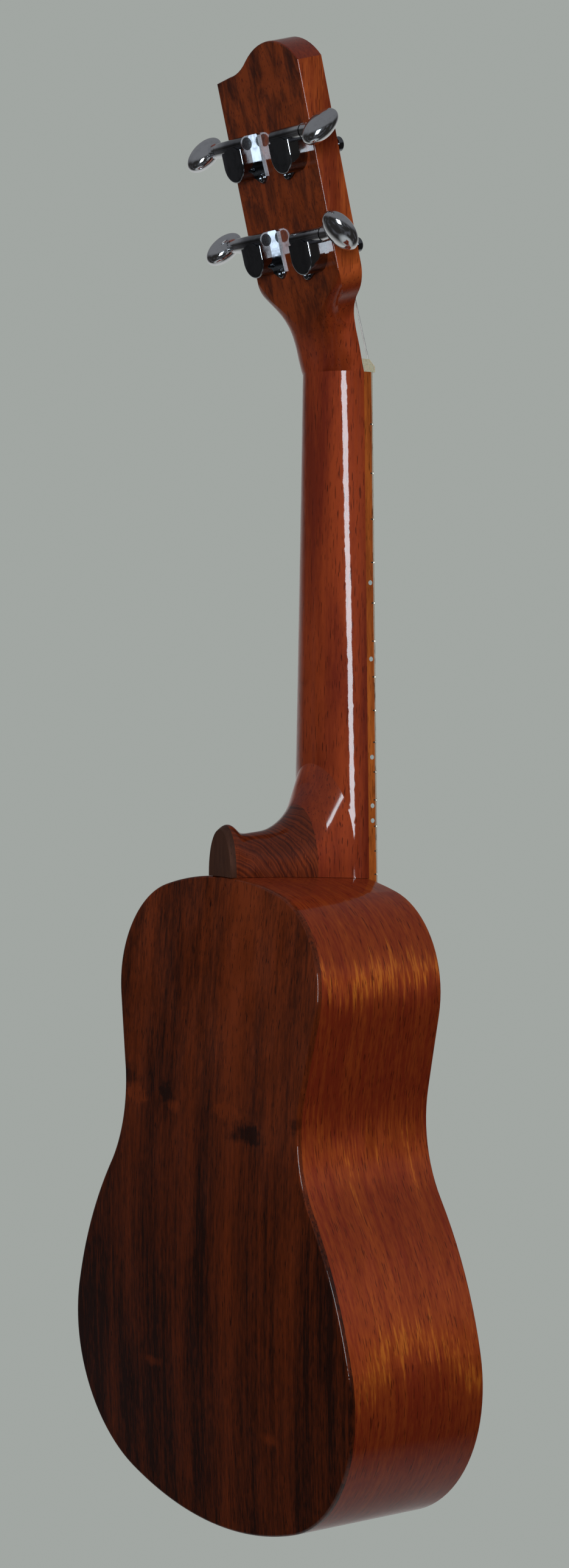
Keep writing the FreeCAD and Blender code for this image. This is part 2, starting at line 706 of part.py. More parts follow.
def saddle():
    """The bone saddle."""
    half = 0.5 * SADDLE_THICKNESS
    bar = block(-SADDLE_HALF_LENGTH, SADDLE_HALF_LENGTH, -SADDLE_HEIGHT, -BRIDGE_WING_HEIGHT,
                SADDLE_Z - half, SADDLE_Z + half)
    top = [edge for edge in bar.Edges if edge.BoundBox.YMax < -SADDLE_HEIGHT + 0.01 and edge.Length > 9]
    bar = bar.makeFillet(0.9, top)
    for number in (1, 2, 3, 4):
        bar = bar.cut(string_pipe(number, STRING_RADII[number - 1] + GLUE_GAP))
    return bar


def bridge():
    """The bridge: a raised block with a saddle slot, a channel and a drilled tie block."""
    front = SADDLE_Z + 7.5
    rear = SADDLE_Z - 14.5
    base = block(-BRIDGE_HALF_LENGTH, BRIDGE_HALF_LENGTH, -BRIDGE_WING_HEIGHT, 0.0, rear, front)
    corners = [edge for edge in base.Edges if edge.BoundBox.YLength > BRIDGE_WING_HEIGHT - 0.1]
    base = base.makeFillet(5.0, corners)
    middle = block(-BRIDGE_BLOCK_HALF_LENGTH, BRIDGE_BLOCK_HALF_LENGTH, -BRIDGE_BLOCK_HEIGHT, -1.0, rear, front)
    middle = middle.makeFillet(1.2, outer_rim(middle, -BRIDGE_BLOCK_HEIGHT, 0.01))
    solid = base.fuse(middle)
    half = 0.5 * SADDLE_THICKNESS + 0.03
    slot_length = SADDLE_HALF_LENGTH + 0.05
    solid = solid.cut(block(-slot_length, slot_length, -FAR, -BRIDGE_WING_HEIGHT, SADDLE_Z - half, SADDLE_Z + half))
    solid = solid.cut(block(-FAR, FAR, -FAR, -2.2, SADDLE_Z - 7.6, SADDLE_Z - 3.4).common(
        block(-26.0, 26.0, -FAR, 0.0, -FAR * 2, FAR)))
    for number in (1, 2, 3, 4):
        points = string_route(number)
        solid = solid.cut(rod(points[0], points[1] + Vector(0, 0, 1.0), 0.8))
        solid = solid.cut(rod(points[1], points[2], 0.8))
        solid = solid.cut(Part.makeSphere(KNOT_RADIUS + 0.1, points[0]))
    return solid.removeSplitter()


# ---------------------------------------------------------------- tuning machines
# Each tuner is drawn for the treble side: X outwards along the worm shaft, Y out of the
# head's back, Z along the head, with the post's axis at X = Z = 0.
def place_tuner(shape, number):
    """Move a tuner piece to the head, mirrored for the bass side."""
    side, along = tuner_place(number)
    placed = shape.copy()
    if side < 0:
        placed = placed.mirror(Vector(0, 0, 0), Vector(1, 0, 0))
    placed.translate(Vector(side * POST_X, HEAD_THICKNESS, along))
    return tilt(placed)


def worm_point(x):
    """A point on the worm's axis."""
    return Vector(x, WORM_HEIGHT, GEAR_TO_WORM)


def housing():
    """The sealed housing with its worm tube and base plate."""
    up = Vector(0, 1, 0)
    shell = Part.makeCylinder(HOUSING_RADIUS, HOUSING_HEIGHT, Vector(0, 0, 0), up)
    shell = shell.fuse(block(-HOUSING_RADIUS, HOUSING_RADIUS, 0, HOUSING_HEIGHT, 0, GEAR_TO_WORM - 1.6))
    shell = shell.removeSplitter()
    shell = shell.makeFillet(0.8, outer_rim(shell, HOUSING_HEIGHT, 0.01))
    shell = shell.fuse(rod(worm_point(-HOUSING_RADIUS), worm_point(TUBE_END), TUBE_RADIUS))
    shell = shell.fuse(block(-HOUSING_RADIUS, HOUSING_RADIUS, 0, WORM_HEIGHT, 0, GEAR_TO_WORM + TUBE_RADIUS))
    shell = shell.fuse(base_plate())
    shell = shell.cut(Part.makeCylinder(CAVITY_RADIUS, HOUSING_HEIGHT - 2.0 * BASE_PLATE,
                                        Vector(0, BASE_PLATE, 0), up))
    shell = shell.cut(rod(worm_point(-HOUSING_RADIUS - 1.0), worm_point(HOUSING_RADIUS + 1.6), TUBE_BORE))
    shell = shell.cut(rod(worm_point(0.0), worm_point(FAR), WORM_SHAFT_RADIUS + RUNNING_GAP))
    shell = shell.cut(Part.makeCylinder(POST_RADIUS + RUNNING_GAP, 2.0, Vector(0, -0.5, 0), up))
    x, z = TUNER_SCREW_PLACE
    return shell.cut(Part.makeCylinder(1.25, 9.0, Vector(x, -1.0, z), up)).removeSplitter()


def base_plate():
    """The thin plate under a housing, with an ear for its screw."""
    x, z = TUNER_SCREW_PLACE
    top = GEAR_TO_WORM + TUBE_RADIUS
    corners = [Vector(HOUSING_RADIUS, 0, top), Vector(-10.2, 0, top), Vector(-10.2, 0, 0.5),
               Vector(x - 2.4, 0, z), Vector(x, 0, z - 2.4), Vector(x + 2.6, 0, z - 1.2),
               Vector(HOUSING_RADIUS, 0, -1.0)]
    edges = [segment(corners[i], corners[(i + 1) % len(corners)]) for i in range(len(corners))]
    plate = prism(edges, BASE_PLATE)
    upright = [edge for edge in plate.Edges if abs(edge.BoundBox.YLength - BASE_PLATE) < 0.01]
    return plate.makeFillet(0.9, upright)


def worm_thread():
    """A single-start trapezoid thread along Z, centred on the origin."""
    root = WORM_PITCH_RADIUS - DEDENDUM
    tip = WORM_PITCH_RADIUS + ADDENDUM
    turns = 3.0
    low = -0.5 * turns * THREAD_PITCH
    profile = Part.makePolygon([Vector(root - 0.15, 0, low - 0.70), Vector(tip, 0, low - 0.23),
                                Vector(tip, 0, low + 0.23), Vector(root - 0.15, 0, low + 0.70),
                                Vector(root - 0.15, 0, low - 0.70)])
    helix = Part.makeHelix(THREAD_PITCH, turns * THREAD_PITCH, WORM_PITCH_RADIUS)
    helix.translate(Vector(0, 0, low))
    return Part.Wire(helix.Edges).makePipeShell([profile], True, True)


def worm():
    """Worm thread, journal and shaft, in mesh with the gear."""
    thread = worm_thread()
    root = WORM_PITCH_RADIUS - DEDENDUM
    core = rod(Vector(0, 0, -WORM_HALF_LENGTH), Vector(0, 0, WORM_HALF_LENGTH), root)
    solid = core.fuse(thread)
    shaft_end = BUTTON_CENTRE - 1.0
    solid = solid.fuse(rod(Vector(0, 0, WORM_HALF_LENGTH - 0.1), Vector(0, 0, shaft_end), WORM_SHAFT_RADIUS))
    solid = solid.fuse(rod(Vector(0, 0, -6.2), Vector(0, 0, -WORM_HALF_LENGTH + 0.1), root))
    # A quarter turn back puts a gap of the thread towards the gear; then Z becomes X.
    solid.rotate(Vector(0, 0, 0), Vector(0, 0, 1), -90.0)
    solid.rotate(Vector(0, 0, 0), Vector(1, 1, 1), 120.0)
    solid.translate(worm_point(0.0))
    return solid


def end_plug():
    """The dark plug that closes the worm tube and carries the worm's inner end."""
    inner = -HOUSING_RADIUS
    plug = rod(worm_point(inner), worm_point(-WORM_HALF_LENGTH - 0.5), TUBE_BORE - 0.03)
    journal = WORM_PITCH_RADIUS - DEDENDUM + RUNNING_GAP
    return plug.cut(rod(worm_point(-6.4), worm_point(0.0), journal))


def gear():
    """The gear on the post, its teeth slanted to match the thread."""
    root = GEAR_PITCH_RADIUS - DEDENDUM
    tip = GEAR_PITCH_RADIUS + ADDENDUM
    slant = THREAD_PITCH / (2.0 * math.pi * WORM_PITCH_RADIUS)
    twist = 0.5 * GEAR_WIDTH * slant / GEAR_PITCH_RADIUS
    wires = []
    for end in (-1, 1):
        y = WORM_HEIGHT + end * 0.5 * GEAR_WIDTH
        corners = []
        for tooth in range(GEAR_TEETH):
            middle = 2.0 * math.pi * tooth / GEAR_TEETH + end * twist
            for radius, half in ((root, -0.68), (tip, -0.25), (tip, 0.25), (root, 0.68)):
                angle = middle + half / radius
                corners.append(Vector(radius * math.sin(angle), y, radius * math.cos(angle)))
        wires.append(Part.makePolygon(corners + [corners[0]]))
    blank = Part.makeLoft(wires, True, True)
    return blank.cut(post_square(0.04))


def post_square(clearance):
    """The square seat of the gear on its post."""
    half = 1.7 + clearance
    low = WORM_HEIGHT - 0.5 * GEAR_WIDTH
    return block(-half, half, low, low + GEAR_WIDTH, -half, half)


def post():
    """The string post, with a waist for the string and a square seat for the gear."""
    up = Vector(0, 1, 0)
    seat = WORM_HEIGHT - 0.5 * GEAR_WIDTH
    solid = Part.makeCylinder(POST_RADIUS, seat + POST_TIP, Vector(0, -POST_TIP, 0), up)
    rims = outer_rim(solid, -POST_TIP, 0.01)
    solid = solid.makeFillet(0.8, rims)
    solid = solid.cut(ring(2.4, POST_RADIUS + 1.0, Vector(0, -POST_TIP + 2.6, 0), 5.6))
    solid = solid.fuse(post_square(0.0))
    middle = -POST_TIP + 3.6
    solid = solid.cut(rod(Vector(-9, middle, 0), Vector(9, middle, 0), 0.7))
    top = seat + GEAR_WIDTH
    return solid.cut(Part.makeCylinder(0.8, 4.0, Vector(0, top - 4.0, 0), up))


def gear_screw():
    """The screw that holds the gear on its post."""
    up = Vector(0, 1, 0)
    top = WORM_HEIGHT + 0.5 * GEAR_WIDTH
    head = Part.makeCylinder(2.1, 1.1, Vector(0, top, 0), up)
    head = head.makeFillet(0.4, outer_rim(head, top + 1.1, 0.01))
    head = head.cut(block(-3, 3, top + 0.6, top + 2, -0.25, 0.25))
    return head.fuse(Part.makeCylinder(0.75, 3.6, Vector(0, top - 3.6, 0), up))


def winding(number):
    """Turns of string round the post."""
    radius = STRING_RADII[number - 1]
    turns = []
    for turn in range(3):
        y = -POST_TIP + 5.5 + (turn - 1) * (2.0 * radius + 0.05)
        turns.append(Part.makeTorus(2.4 + radius + 0.02, radius, Vector(0, y, 0), Vector(0, 1, 0)))
    return turns


def bushing():
    """The flanged bushing pressed in from the head's front."""
    up = Vector(0, 1, 0)
    front = -HEAD_THICKNESS
    flange = Part.makeCylinder(6.4, 1.2, Vector(0, front - 1.2, 0), up)
    flange = flange.makeFillet(0.5, outer_rim(flange, front - 1.2, 0.01))
    body = flange.fuse(Part.makeCylinder(BUSHING_RADIUS, 8.5, Vector(0, front, 0), up))
    return body.cut(Part.makeCylinder(POST_RADIUS + RUNNING_GAP, 20.0, Vector(0, front - 5.0, 0), up))


def mounting_screw():
    """The small wood screw of a tuner."""
    up = Vector(0, 1, 0)
    x, z = TUNER_SCREW_PLACE
    head = Part.makeCylinder(1.9, 0.9, Vector(x, BASE_PLATE, z), up)
    head = head.makeFillet(0.6, outer_rim(head, BASE_PLATE + 0.9, 0.01))
    head = head.cut(block(x - 1.0, x + 1.0, BASE_PLATE + 0.45, 9.0, z - 0.2, z + 0.2))
    head = head.cut(block(x - 0.2, x + 0.2, BASE_PLATE + 0.45, 9.0, z - 1.0, z + 1.0))
    shank = Part.makeCylinder(0.8, 6.0 + BASE_PLATE, Vector(x, -6.0, z), up)
    return head.fuse(shank)


def button(number):
    """The oval button with its neck, turned to its rest angle."""
    along, thick, across = BUTTON_HALF_SIZES
    grow = Matrix()
    grow.scale(along, thick, across)
    oval = Part.makeSphere(1.0).transformGeometry(grow)
    oval.translate(Vector(BUTTON_CENTRE, 0, 0))
    collar = Part.makeCone(2.9, 2.2, 5.6, Vector(TUBE_END + 0.4, 0, 0), Vector(1, 0, 0))
    solid = oval.fuse(collar)
    solid = solid.cut(rod(Vector(0, 0, 0), Vector(BUTTON_CENTRE - 0.9, 0, 0), WORM_SHAFT_RADIUS + 0.03))
    solid.rotate(Vector(0, 0, 0), Vector(1, 0, 0), -BUTTON_TURNS[number - 1])
    solid.translate(worm_point(0.0))
    return solid


def make_tuners():
    """All four tuning machines."""
    for number in (1, 2, 3, 4):
        export("tuner_housing_%d" % number, place_tuner(housing(), number))
        export("worm_shaft_%d" % number, place_tuner(worm(), number))
        export("button_%d" % number, place_tuner(button(number), number))
        export("post_%d" % number, place_tuner(post(), number))
        export("gear_%d" % number, place_tuner(gear(), number))
        export("gear_screw_%d" % number, place_tuner(gear_screw(), number))
        export("string_winding_%d" % number, *[place_tuner(turn, number) for turn in winding(number)])
    export("tuner_bushings", *[place_tuner(bushing(), number) for number in (1, 2, 3, 4)])
    export("tuner_screws", *[place_tuner(mounting_screw(), number) for number in (1, 2, 3, 4)])
    export("tuner_end_plugs", *[place_tuner(end_plug(), number) for number in (1, 2, 3, 4)])


# ---------------------------------------------------------------- build
def make_body():
    """Shell, blocks, strips and braces."""
    bottom = JOINT_Z - body_length()
    plate, rings = soundboard_and_rosette()
    export("soundboard", plate)
    export("rosette", *rings)
    export("back_plate", back_plate())
    export("side_treble", bent_side(1))
    export("side_bass", bent_side(-1))
    export("neck_block", end_block(JOINT_Z - PLATE - NECK_BLOCK_LENGTH, JOINT_Z))
    export("tail_block", end_block(bottom, bottom + PLATE + TAIL_BLOCK_LENGTH))
    export("soundboard_linings", lining_strips(True))
    export("back_linings", lining_strips(False))
    export("soundboard_braces", soundboard_brace(50.0), soundboard_brace(126.0))
    export("bridge_plate", bridge_plate())
    export("fan_braces", fan_brace(-9.0), fan_brace(0.0), fan_brace(9.0))
    braces = [back_brace(45.0), back_brace(128.0), back_brace(212.0)]
    export("back_braces", *braces)
    export("back_strip", back_strip(braces))


def make_neck():
    """Neck, stacked heel, cap and dowels."""
    whole_heel = heel()
    cap_back = DEPTH_AT_NECK + HEEL_CAP_PROUD
    cap_front = cap_back - HEEL_CAP_THICKNESS
    middle = whole_heel.common(block(-FAR, FAR, PLANK_DEPTH, cap_front, -2 * FAR, FAR))
    export("neck", neck())
    export("heel_block", middle.cut(dowels(GLUE_GAP)))
    export("heel_cap", whole_heel.common(block(-FAR, FAR, cap_front, cap_back, -2 * FAR, FAR)))
    export("heel_dowels", dowels(0.0))


def make_strings():
    """Nut, bridge, saddle and strings."""
    export("nut", nut())
    export("bridge", bridge())
    export("saddle", saddle())
    for number in (1, 2, 3, 4):
        export("string_%d" % number, string_solid(number))


os.makedirs("parts", exist_ok=True)
make_body()
make_neck()
make_fingerboard()
make_strings()
make_tuners()
print("body length", round(body_length(), 2))
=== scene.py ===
import json
import math

import bpy
from mathutils import Matrix, Vector


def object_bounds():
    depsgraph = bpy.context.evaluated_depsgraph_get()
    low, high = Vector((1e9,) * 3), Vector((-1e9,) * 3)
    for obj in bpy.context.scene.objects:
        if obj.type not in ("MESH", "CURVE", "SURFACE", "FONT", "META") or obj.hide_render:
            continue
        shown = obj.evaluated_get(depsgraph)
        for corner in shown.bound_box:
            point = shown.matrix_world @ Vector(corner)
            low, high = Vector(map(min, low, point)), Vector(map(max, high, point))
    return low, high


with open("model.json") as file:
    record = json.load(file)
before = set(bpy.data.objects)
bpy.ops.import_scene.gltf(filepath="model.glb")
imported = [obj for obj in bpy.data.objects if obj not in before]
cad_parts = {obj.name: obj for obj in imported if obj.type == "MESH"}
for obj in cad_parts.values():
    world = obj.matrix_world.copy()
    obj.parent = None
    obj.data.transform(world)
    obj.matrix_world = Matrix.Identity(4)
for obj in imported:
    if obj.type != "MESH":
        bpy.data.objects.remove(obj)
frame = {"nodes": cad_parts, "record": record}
NODES = frame["nodes"]
CAD_LOW, CAD_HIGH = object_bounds()

# A concert ukulele hanging by its head, seen from behind on its bass side.
# Metres, in the model's own frame: origin at the nut, +Z up to the head, +Y out of the
# back, -X the bass side.

# ---------------------------------------------------------------- camera
CAMERA_PLACE = Vector((-0.996, 0.726, -0.127))
CAMERA_HEADING = math.radians(-125.06)    # of the line of sight, from +Y towards +X
CAMERA_PITCH = math.radians(-11.63)
CAMERA_ROLL = math.radians(0.25)
CAMERA_LENS = 63.3
CAMERA_SENSOR = 36.0
CAMERA_RISE = 0.2938          # the frame is the upper part of a taller picture

# ---------------------------------------------------------------- lights and room
BACKDROP = (0.36, 0.385, 0.365)
ROOM_BEHIND = (0.46, 0.47, 0.46)          # what the far side of the object reflects
ROOM_NEAR = (0.022, 0.021, 0.020)         # the dim room on the camera's side
WALL_DIP = -0.36                          # the pale part lies this much below the level
WALL_RAMP = (0.52, 0.92)                  # cosines from its middle where it starts and is full
CEILING = (0.150, 0.155, 0.165)           # seen in the gloss of faces that look up
CEILING_LIMITS = (0.18, 0.50)             # height in the direction where it starts and is full
ROOM_THINGS = (0.070, 0.072, 0.080)       # paler things in that room, seen in the chrome
THINGS_SCALE = 2.2
THINGS_LIMITS = (0.48, 0.66)              # noise between which they show
FLOOR_DROP = 0.33             # floor below the tail
FLOOR_CLEAR_RADIUS = 0.25
FLOOR_EDGE_RADIUS = 0.60
FLOOR_COLOUR = (0.50, 0.51, 0.50)
KEY_WIDTH = 0.42
KEY_HEIGHT = 0.55
KEY_POWER = 10.0
KEY_COLOUR = (0.80, 0.92, 1.0)
KEY_LEFT = 0.10               # the key's place, from the camera
KEY_UP = 0.16
KEY_BACK = 0.05
# Square lights that the gloss doesn't mirror: name, place, size, power, colour.
FILLS = [("top", (0.2, 0.0, 1.6), 0.9, 4.0, (1.0, 0.98, 0.95)),
         ("front_fill", (-0.7, -1.7, 0.5), 1.2, 14.0, (1.0, 0.98, 0.96)),
         ("treble_front_fill", (1.1, -1.5, 0.4), 1.0, 14.0, (1.0, 0.98, 0.96)),
         ("treble_fill", (1.9, 0.5, 0.6), 1.0, 8.0, (0.96, 0.98, 1.0))]

# ---------------------------------------------------------------- wood
FIBRE = (0.0, 0.0, 1.0)
FIBRE_SWING = 0.5
BACK_DARK = (0.026, 0.0055, 0.0024)
BACK_LIGHT = (0.215, 0.033, 0.0062)
HEAD_DARK = (0.040, 0.0075, 0.0026)
HEAD_LIGHT = (0.250, 0.040, 0.0065)
SIDE_DARK = (0.215, 0.0230, 0.0065)
SIDE_LIGHT = (0.405, 0.072, 0.0102)
# The gold that the sides' painted sheen turns to.
SIDE_SHEEN_GOLD = (0.500, 0.120, 0.0140)
NECK_DARK = (0.180, 0.0190, 0.0055)
NECK_LIGHT = (0.325, 0.044, 0.0090)
# The head's sides: painted lighter than the neck, as painted light.
HEAD_SIDE_LIT_DARK = (0.240, 0.034, 0.0095)
HEAD_SIDE_LIT_LIGHT = (0.560, 0.110, 0.0200)
HEEL_DARK = (0.060, 0.0085, 0.0028)
HEEL_LIGHT = (0.205, 0.031, 0.0062)
CAP_DARK = (0.050, 0.0180, 0.0110)
CAP_LIGHT = (0.085, 0.0320, 0.0185)
BOARD_DARK = (0.29, 0.057, 0.0090)
BOARD_LIGHT = (0.54, 0.128, 0.0175)
BOARD_EDGE_HIGHLIGHT = (0.46, 0.38, 0.29)             # a painted highlight along the front corner
# Painted gold sheen along the sides, where the bent fibres catch the light: height, and how much of the
# painted sheen is seen there.
SIDE_PAINTED_SHEEN = [(-0.500, 0.00), (-0.425, 0.00), (-0.411, 0.12), (-0.400, 0.58), (-0.386, 0.30),
             (-0.359, 0.20), (-0.338, 0.22), (-0.327, 0.46), (-0.316, 0.00), (-0.284, -0.10),
             (-0.268, 0.00), (-0.257, 0.66), (-0.248, 0.20), (-0.200, 0.05)]
SIDE_MIDDLE = 0.032                         # depth where the painted sheen's chevrons have their points
LEAN_TURNS = (-0.370, -0.280)               # heights between which they turn over
# Stripes of the back from the bass edge to the treble edge: sideways place, lightness.
BACK_STRIPES = [(-0.100, 0.25), (-0.070, 0.45), (-0.053, 0.80), (-0.037, 0.20), (-0.022, 0.90),
                (-0.010, 0.80), (0.003, 0.15), (0.018, 0.75), (0.036, 0.15), (0.061, 0.60),
                (0.100, 0.25)]
BACK_DARKENS = (-0.430, -0.290)             # the back's colour is darker towards the bottom
# Knots of the back: sideways place, height, half width, half height, lightness added.
KNOTS = [(0.0560, -0.3120, 0.0100, 0.0042, 0.95), (0.0660, -0.3040, 0.0120, 0.0050, -0.45),
         (0.0277, -0.3139, 0.0060, 0.0030, 0.45), (0.0330, -0.3090, 0.0080, 0.0045, -0.40),
         (-0.0150, -0.3110, 0.0095, 0.0036, 0.85), (-0.0300, -0.3190, 0.0150, 0.0060, -0.60),
         (-0.0658, -0.3110, 0.0050, 0.0040, -0.45), (0.0428, -0.4340, 0.0080, 0.0030, 0.45),
         (-0.0500, -0.4500, 0.0070, 0.0030, 0.45)]
RING_CENTRE = (0.0, 0.064, -0.222)          # of the growth rings that show on the heel block
RINGS_PER_METRE = 820.0
HEEL_BELOW = -0.1
FACES_ALONG = (0.80, 0.93)                  # normal's share of an axis for a face square to it
PLANK_FACE = 0.022                          # depth where the neck's plank meets the heel block
CHROME_HOUSING_SHADED = (0.27, 0.28, 0.30)         # the tuners' housings are painted darker than their buttons: painted shade for the dim room they mirror
CHROME_BUTTON = (0.88, 0.89, 0.92)
HOUSING_SHADE_ENDS = (0.020, 0.030)            # distance from the middle plane, from the painted-dark housing to the button
SPRUCE_DARK = (0.42, 0.27, 0.13)
SPRUCE_LIGHT = (0.62, 0.44, 0.24)


# ---------------------------------------------------------------- node graphs
def dimmed(colour, share):
    """A share of a colour's light."""
    return tuple(share * part for part in colour)


def feed(tree, socket, value):
    """Links a socket to an input, or sets the input to a value."""
    if isinstance(value, bpy.types.NodeSocket):
        tree.links.new(value, socket)
    else:
        socket.default_value = value


def add_node(tree, kind, inputs, **settings):
    """Adds a node, makes its settings, feeds its inputs, and returns it."""
    made = tree.nodes.new(kind)
    for name, value in settings.items():
        setattr(made, name, value)
    for key, value in inputs.items():
        feed(tree, made.inputs[key], value)
    return made


class Graph:
    """A material's node tree, with short calls for the nodes that the materials use."""

    def __init__(self, name):
        self.material = bpy.data.materials.new(name)
        self.material.use_nodes = True
        self.tree = self.material.node_tree
        self.shader = self.tree.nodes["Principled BSDF"]
        self.place = self.tree.nodes.new("ShaderNodeTexCoord").outputs["Object"]
        self.normal = self.tree.nodes.new("ShaderNodeNewGeometry").outputs["Normal"]

    def node(self, kind, inputs, output=0, **settings):
        """Adds a node and returns one of its outputs."""
        return add_node(self.tree, kind, inputs, **settings).outputs[output]

    def set(self, **values):
        """Sets the shader's inputs, named with underscores for spaces."""
        for name, value in values.items():
            socket = self.shader.inputs[name.replace("_", " ")]
            if isinstance(value, tuple) and len(value) == 3 and socket.type == "RGBA":
                value = (*value, 1.0)
            feed(self.tree, socket, value)

    def math(self, operation, first, second=0.0, clamp=False):
        return self.node("ShaderNodeMath", {0: first, 1: second}, operation=operation, use_clamp=clamp)

    def vector(self, operation, first, second):
        return self.node("ShaderNodeVectorMath", {0: first, 1: second}, operation=operation)

    def stretched(self, scales):
        """The place on the object, with each axis scaled: noise on it has that many spots a metre."""
        return self.vector("MULTIPLY", self.place, scales)

    def axis(self, source, index):
        """One of the three parts of a vector."""
        return self.node("ShaderNodeSeparateXYZ", {0: source}, output=index)

    def blend(self, share, first, second):
        """A vector between two others."""
        return self.node("ShaderNodeMix", {0: share, 4: first, 5: second}, output=1, data_type="VECTOR")

    def noise(self, where, detail=2.0, roughness=0.5, distortion=0.0):
        inputs = {"Vector": where, "Scale": 1.0, "Detail": detail, "Roughness": roughness,
                  "Distortion": distortion}
        return self.node("ShaderNodeTexNoise", inputs)

    def step(self, value, low, high, start=0.0, end=1.0):
        """A smooth rise from start to end as the value goes from low to high."""
        inputs = {"Value": value, "From Min": low, "From Max": high, "To Min": start, "To Max": end}
        return self.node("ShaderNodeMapRange", inputs, interpolation_type="SMOOTHSTEP")

    def mix(self, share, first, second):
        """A colour between two others."""
        first = (*first, 1.0) if isinstance(first, tuple) and len(first) == 3 else first
        second = (*second, 1.0) if isinstance(second, tuple) and len(second) == 3 else second
        inputs = {0: share, 6: first, 7: second}
        return self.node("ShaderNodeMix", inputs, output=2, data_type="RGBA")

    def bump(self, height, distance):
        return self.node("ShaderNodeBump", {"Height": height, "Distance": distance, "Strength": 1.0})

    def ramp(self, value, stops, interpolation):
        """A grey ramp through (position, lightness) stops."""
        made = self.tree.nodes.new("ShaderNodeValToRGB")
        made.color_ramp.interpolation = interpolation
        elements = made.color_ramp.elements
        while len(elements) < len(stops):
            elements.new(1.0)
        for element, (position, level) in zip(elements, stops):
            element.position = position
            element.color = (level, level, level, 1.0)
        feed(self.tree, made.inputs[0], value)
        return made.outputs[0]


def lacquered(graph, colour, grain, across, coat):
    """Finishes a wood: the fibres' own sheen below a clear gloss coat that is slightly wavy."""
    wave = graph.noise(graph.stretched((60.0, 60.0, 35.0)), detail=1.0)
    graph.set(Base_Color=colour, Roughness=0.50, Metallic=0.28, Anisotropic=0.95, Tangent=across,
              Specular_IOR_Level=0.06, Coat_Weight=coat, Coat_Roughness=0.075, Coat_IOR=1.5,
              Normal=graph.bump(grain, 0.00004), Coat_Normal=graph.bump(wave, 0.00012))
    return graph.material


def fibre_tilt(graph, across):
    """The direction across the fibres, swung this way and that as the grain runs in and out."""
    inputs = {"Vector": graph.stretched((70.0, 130.0, 30.0)), "Scale": 1.0, "Detail": 3.0}
    swing = graph.node("ShaderNodeTexNoise", inputs, output=1)
    swing = graph.vector("SUBTRACT", swing, (0.5, 0.5, 0.5))
    swing = graph.vector("MULTIPLY", swing, (FIBRE_SWING, FIBRE_SWING, FIBRE_SWING))
    return graph.vector("ADD", across, swing)


def faces_y(graph):
    """1 on faces turned to the front or back, 0 on the sides."""
    return graph.step(graph.math("ABSOLUTE", graph.axis(graph.normal, 1)), 0.45, 0.6)


def grain_lines(graph, bent):
    """Streaks, flecks and pores, drawn out along the fibres.  bent: the fibres follow a side's outline."""
    def along(spots_across, spots_along):
        straight = graph.stretched((spots_across, spots_across, spots_along))
        if not bent:
            return straight
        curved = graph.stretched((spots_along, spots_across, spots_along))
        return graph.blend(faces_y(graph), curved, straight)
    streak = graph.noise(along(420.0, 9.0), detail=3.0, roughness=0.6)
    fleck = graph.noise(along(900.0, 160.0), detail=2.0, roughness=0.6)
    pore = graph.step(graph.noise(along(1900.0, 150.0), detail=1.0), 0.62, 0.70)
    return streak, fleck, pore


def wood(name, dark, light, ribbon, bent=False, pores=0.75, recolour=None, coat=0.62):
    """A wood whose broad ribbons are given by a function of its graph, from 0, dark, to 1, light."""
    graph = Graph(name)
    streak, fleck, pore = grain_lines(graph, bent)
    level = ribbon(graph)
    level = graph.math("ADD", level, graph.step(streak, 0.25, 0.75, -0.22, 0.22))
    level = graph.math("ADD", level, graph.step(fleck, 0.3, 0.7, -0.16, 0.16), clamp=True)
    colour = graph.mix(level, dark, light)
    if recolour:
        colour = recolour(graph, colour, level)
    colour = graph.mix(graph.math("MULTIPLY", pore, pores), colour, dimmed(dark, 0.35))
    grain = graph.math("SUBTRACT", graph.math("MULTIPLY", streak, 0.5), pore)
    across = graph.vector("CROSS_PRODUCT", graph.normal, FIBRE)
    if bent:
        across = graph.blend(faces_y(graph), (0.0, 1.0, 0.0), (1.0, 0.0, 0.0))
    return lacquered(graph, colour, grain, fibre_tilt(graph, across), coat)


def soft_ribbons(spots_across, spots_along, low=0.3, high=0.7):
    """Broad ribbons with no fixed places."""
    def ribbon(graph):
        where = graph.stretched((spots_across, spots_across, spots_along))
        return graph.step(graph.noise(where, detail=2.0, distortion=0.4), low, high)
    return ribbon


def placed_ramp(graph, value, stops, interpolation):
    """A ramp whose stops are given at values in metres."""
    low, high = stops[0][0], stops[-1][0]
    share = graph.node("ShaderNodeMapRange", {"Value": value, "From Min": low, "From Max": high})
    placed = [((place - low) / (high - low), level) for place, level in stops]
    return graph.ramp(share, placed, interpolation)


def knot(graph, x, z, half_width, half_height):
    """1 at a place on the back, falling to 0 round it."""
    away = graph.vector("SUBTRACT", graph.place, (x, 0.0, z))
    away = graph.vector("MULTIPLY", away, (1.0 / half_width, 0.0, 1.0 / half_height))
    distance = graph.node("ShaderNodeVectorMath", {0: away}, output=1, operation="LENGTH")
    ragged = graph.noise(graph.stretched((150.0, 150.0, 260.0)), detail=2.0)
    distance = graph.math("ADD", distance, graph.step(ragged, 0.2, 0.8, -0.35, 0.35))
    return graph.step(distance, 0.25, 1.15, 1.0, 0.0)


def back_ribbons(graph):
    """The back's stripes and knots."""
    wander = graph.noise(graph.stretched((9.0, 9.0, 5.0)), detail=1.0)
    x = graph.math("ADD", graph.axis(graph.place, 0), graph.step(wander, 0.2, 0.8, -0.003, 0.003))
    level = placed_ramp(graph, x, BACK_STRIPES, "B_SPLINE")
    mottle = graph.noise(graph.stretched((60.0, 60.0, 7.0)), detail=2.0)
    level = graph.math("ADD", level, graph.step(mottle, 0.3, 0.7, -0.2, 0.2))
    low, high = BACK_DARKENS
    level = graph.math("ADD", level, graph.step(graph.axis(graph.place, 2), low, high, -0.22, 0.08))
    for x_place, height, half_width, half_height, change in KNOTS:
        spot = graph.math("MULTIPLY", knot(graph, x_place, height, half_width, half_height), change)
        level = graph.math("ADD", level, spot)
    return level


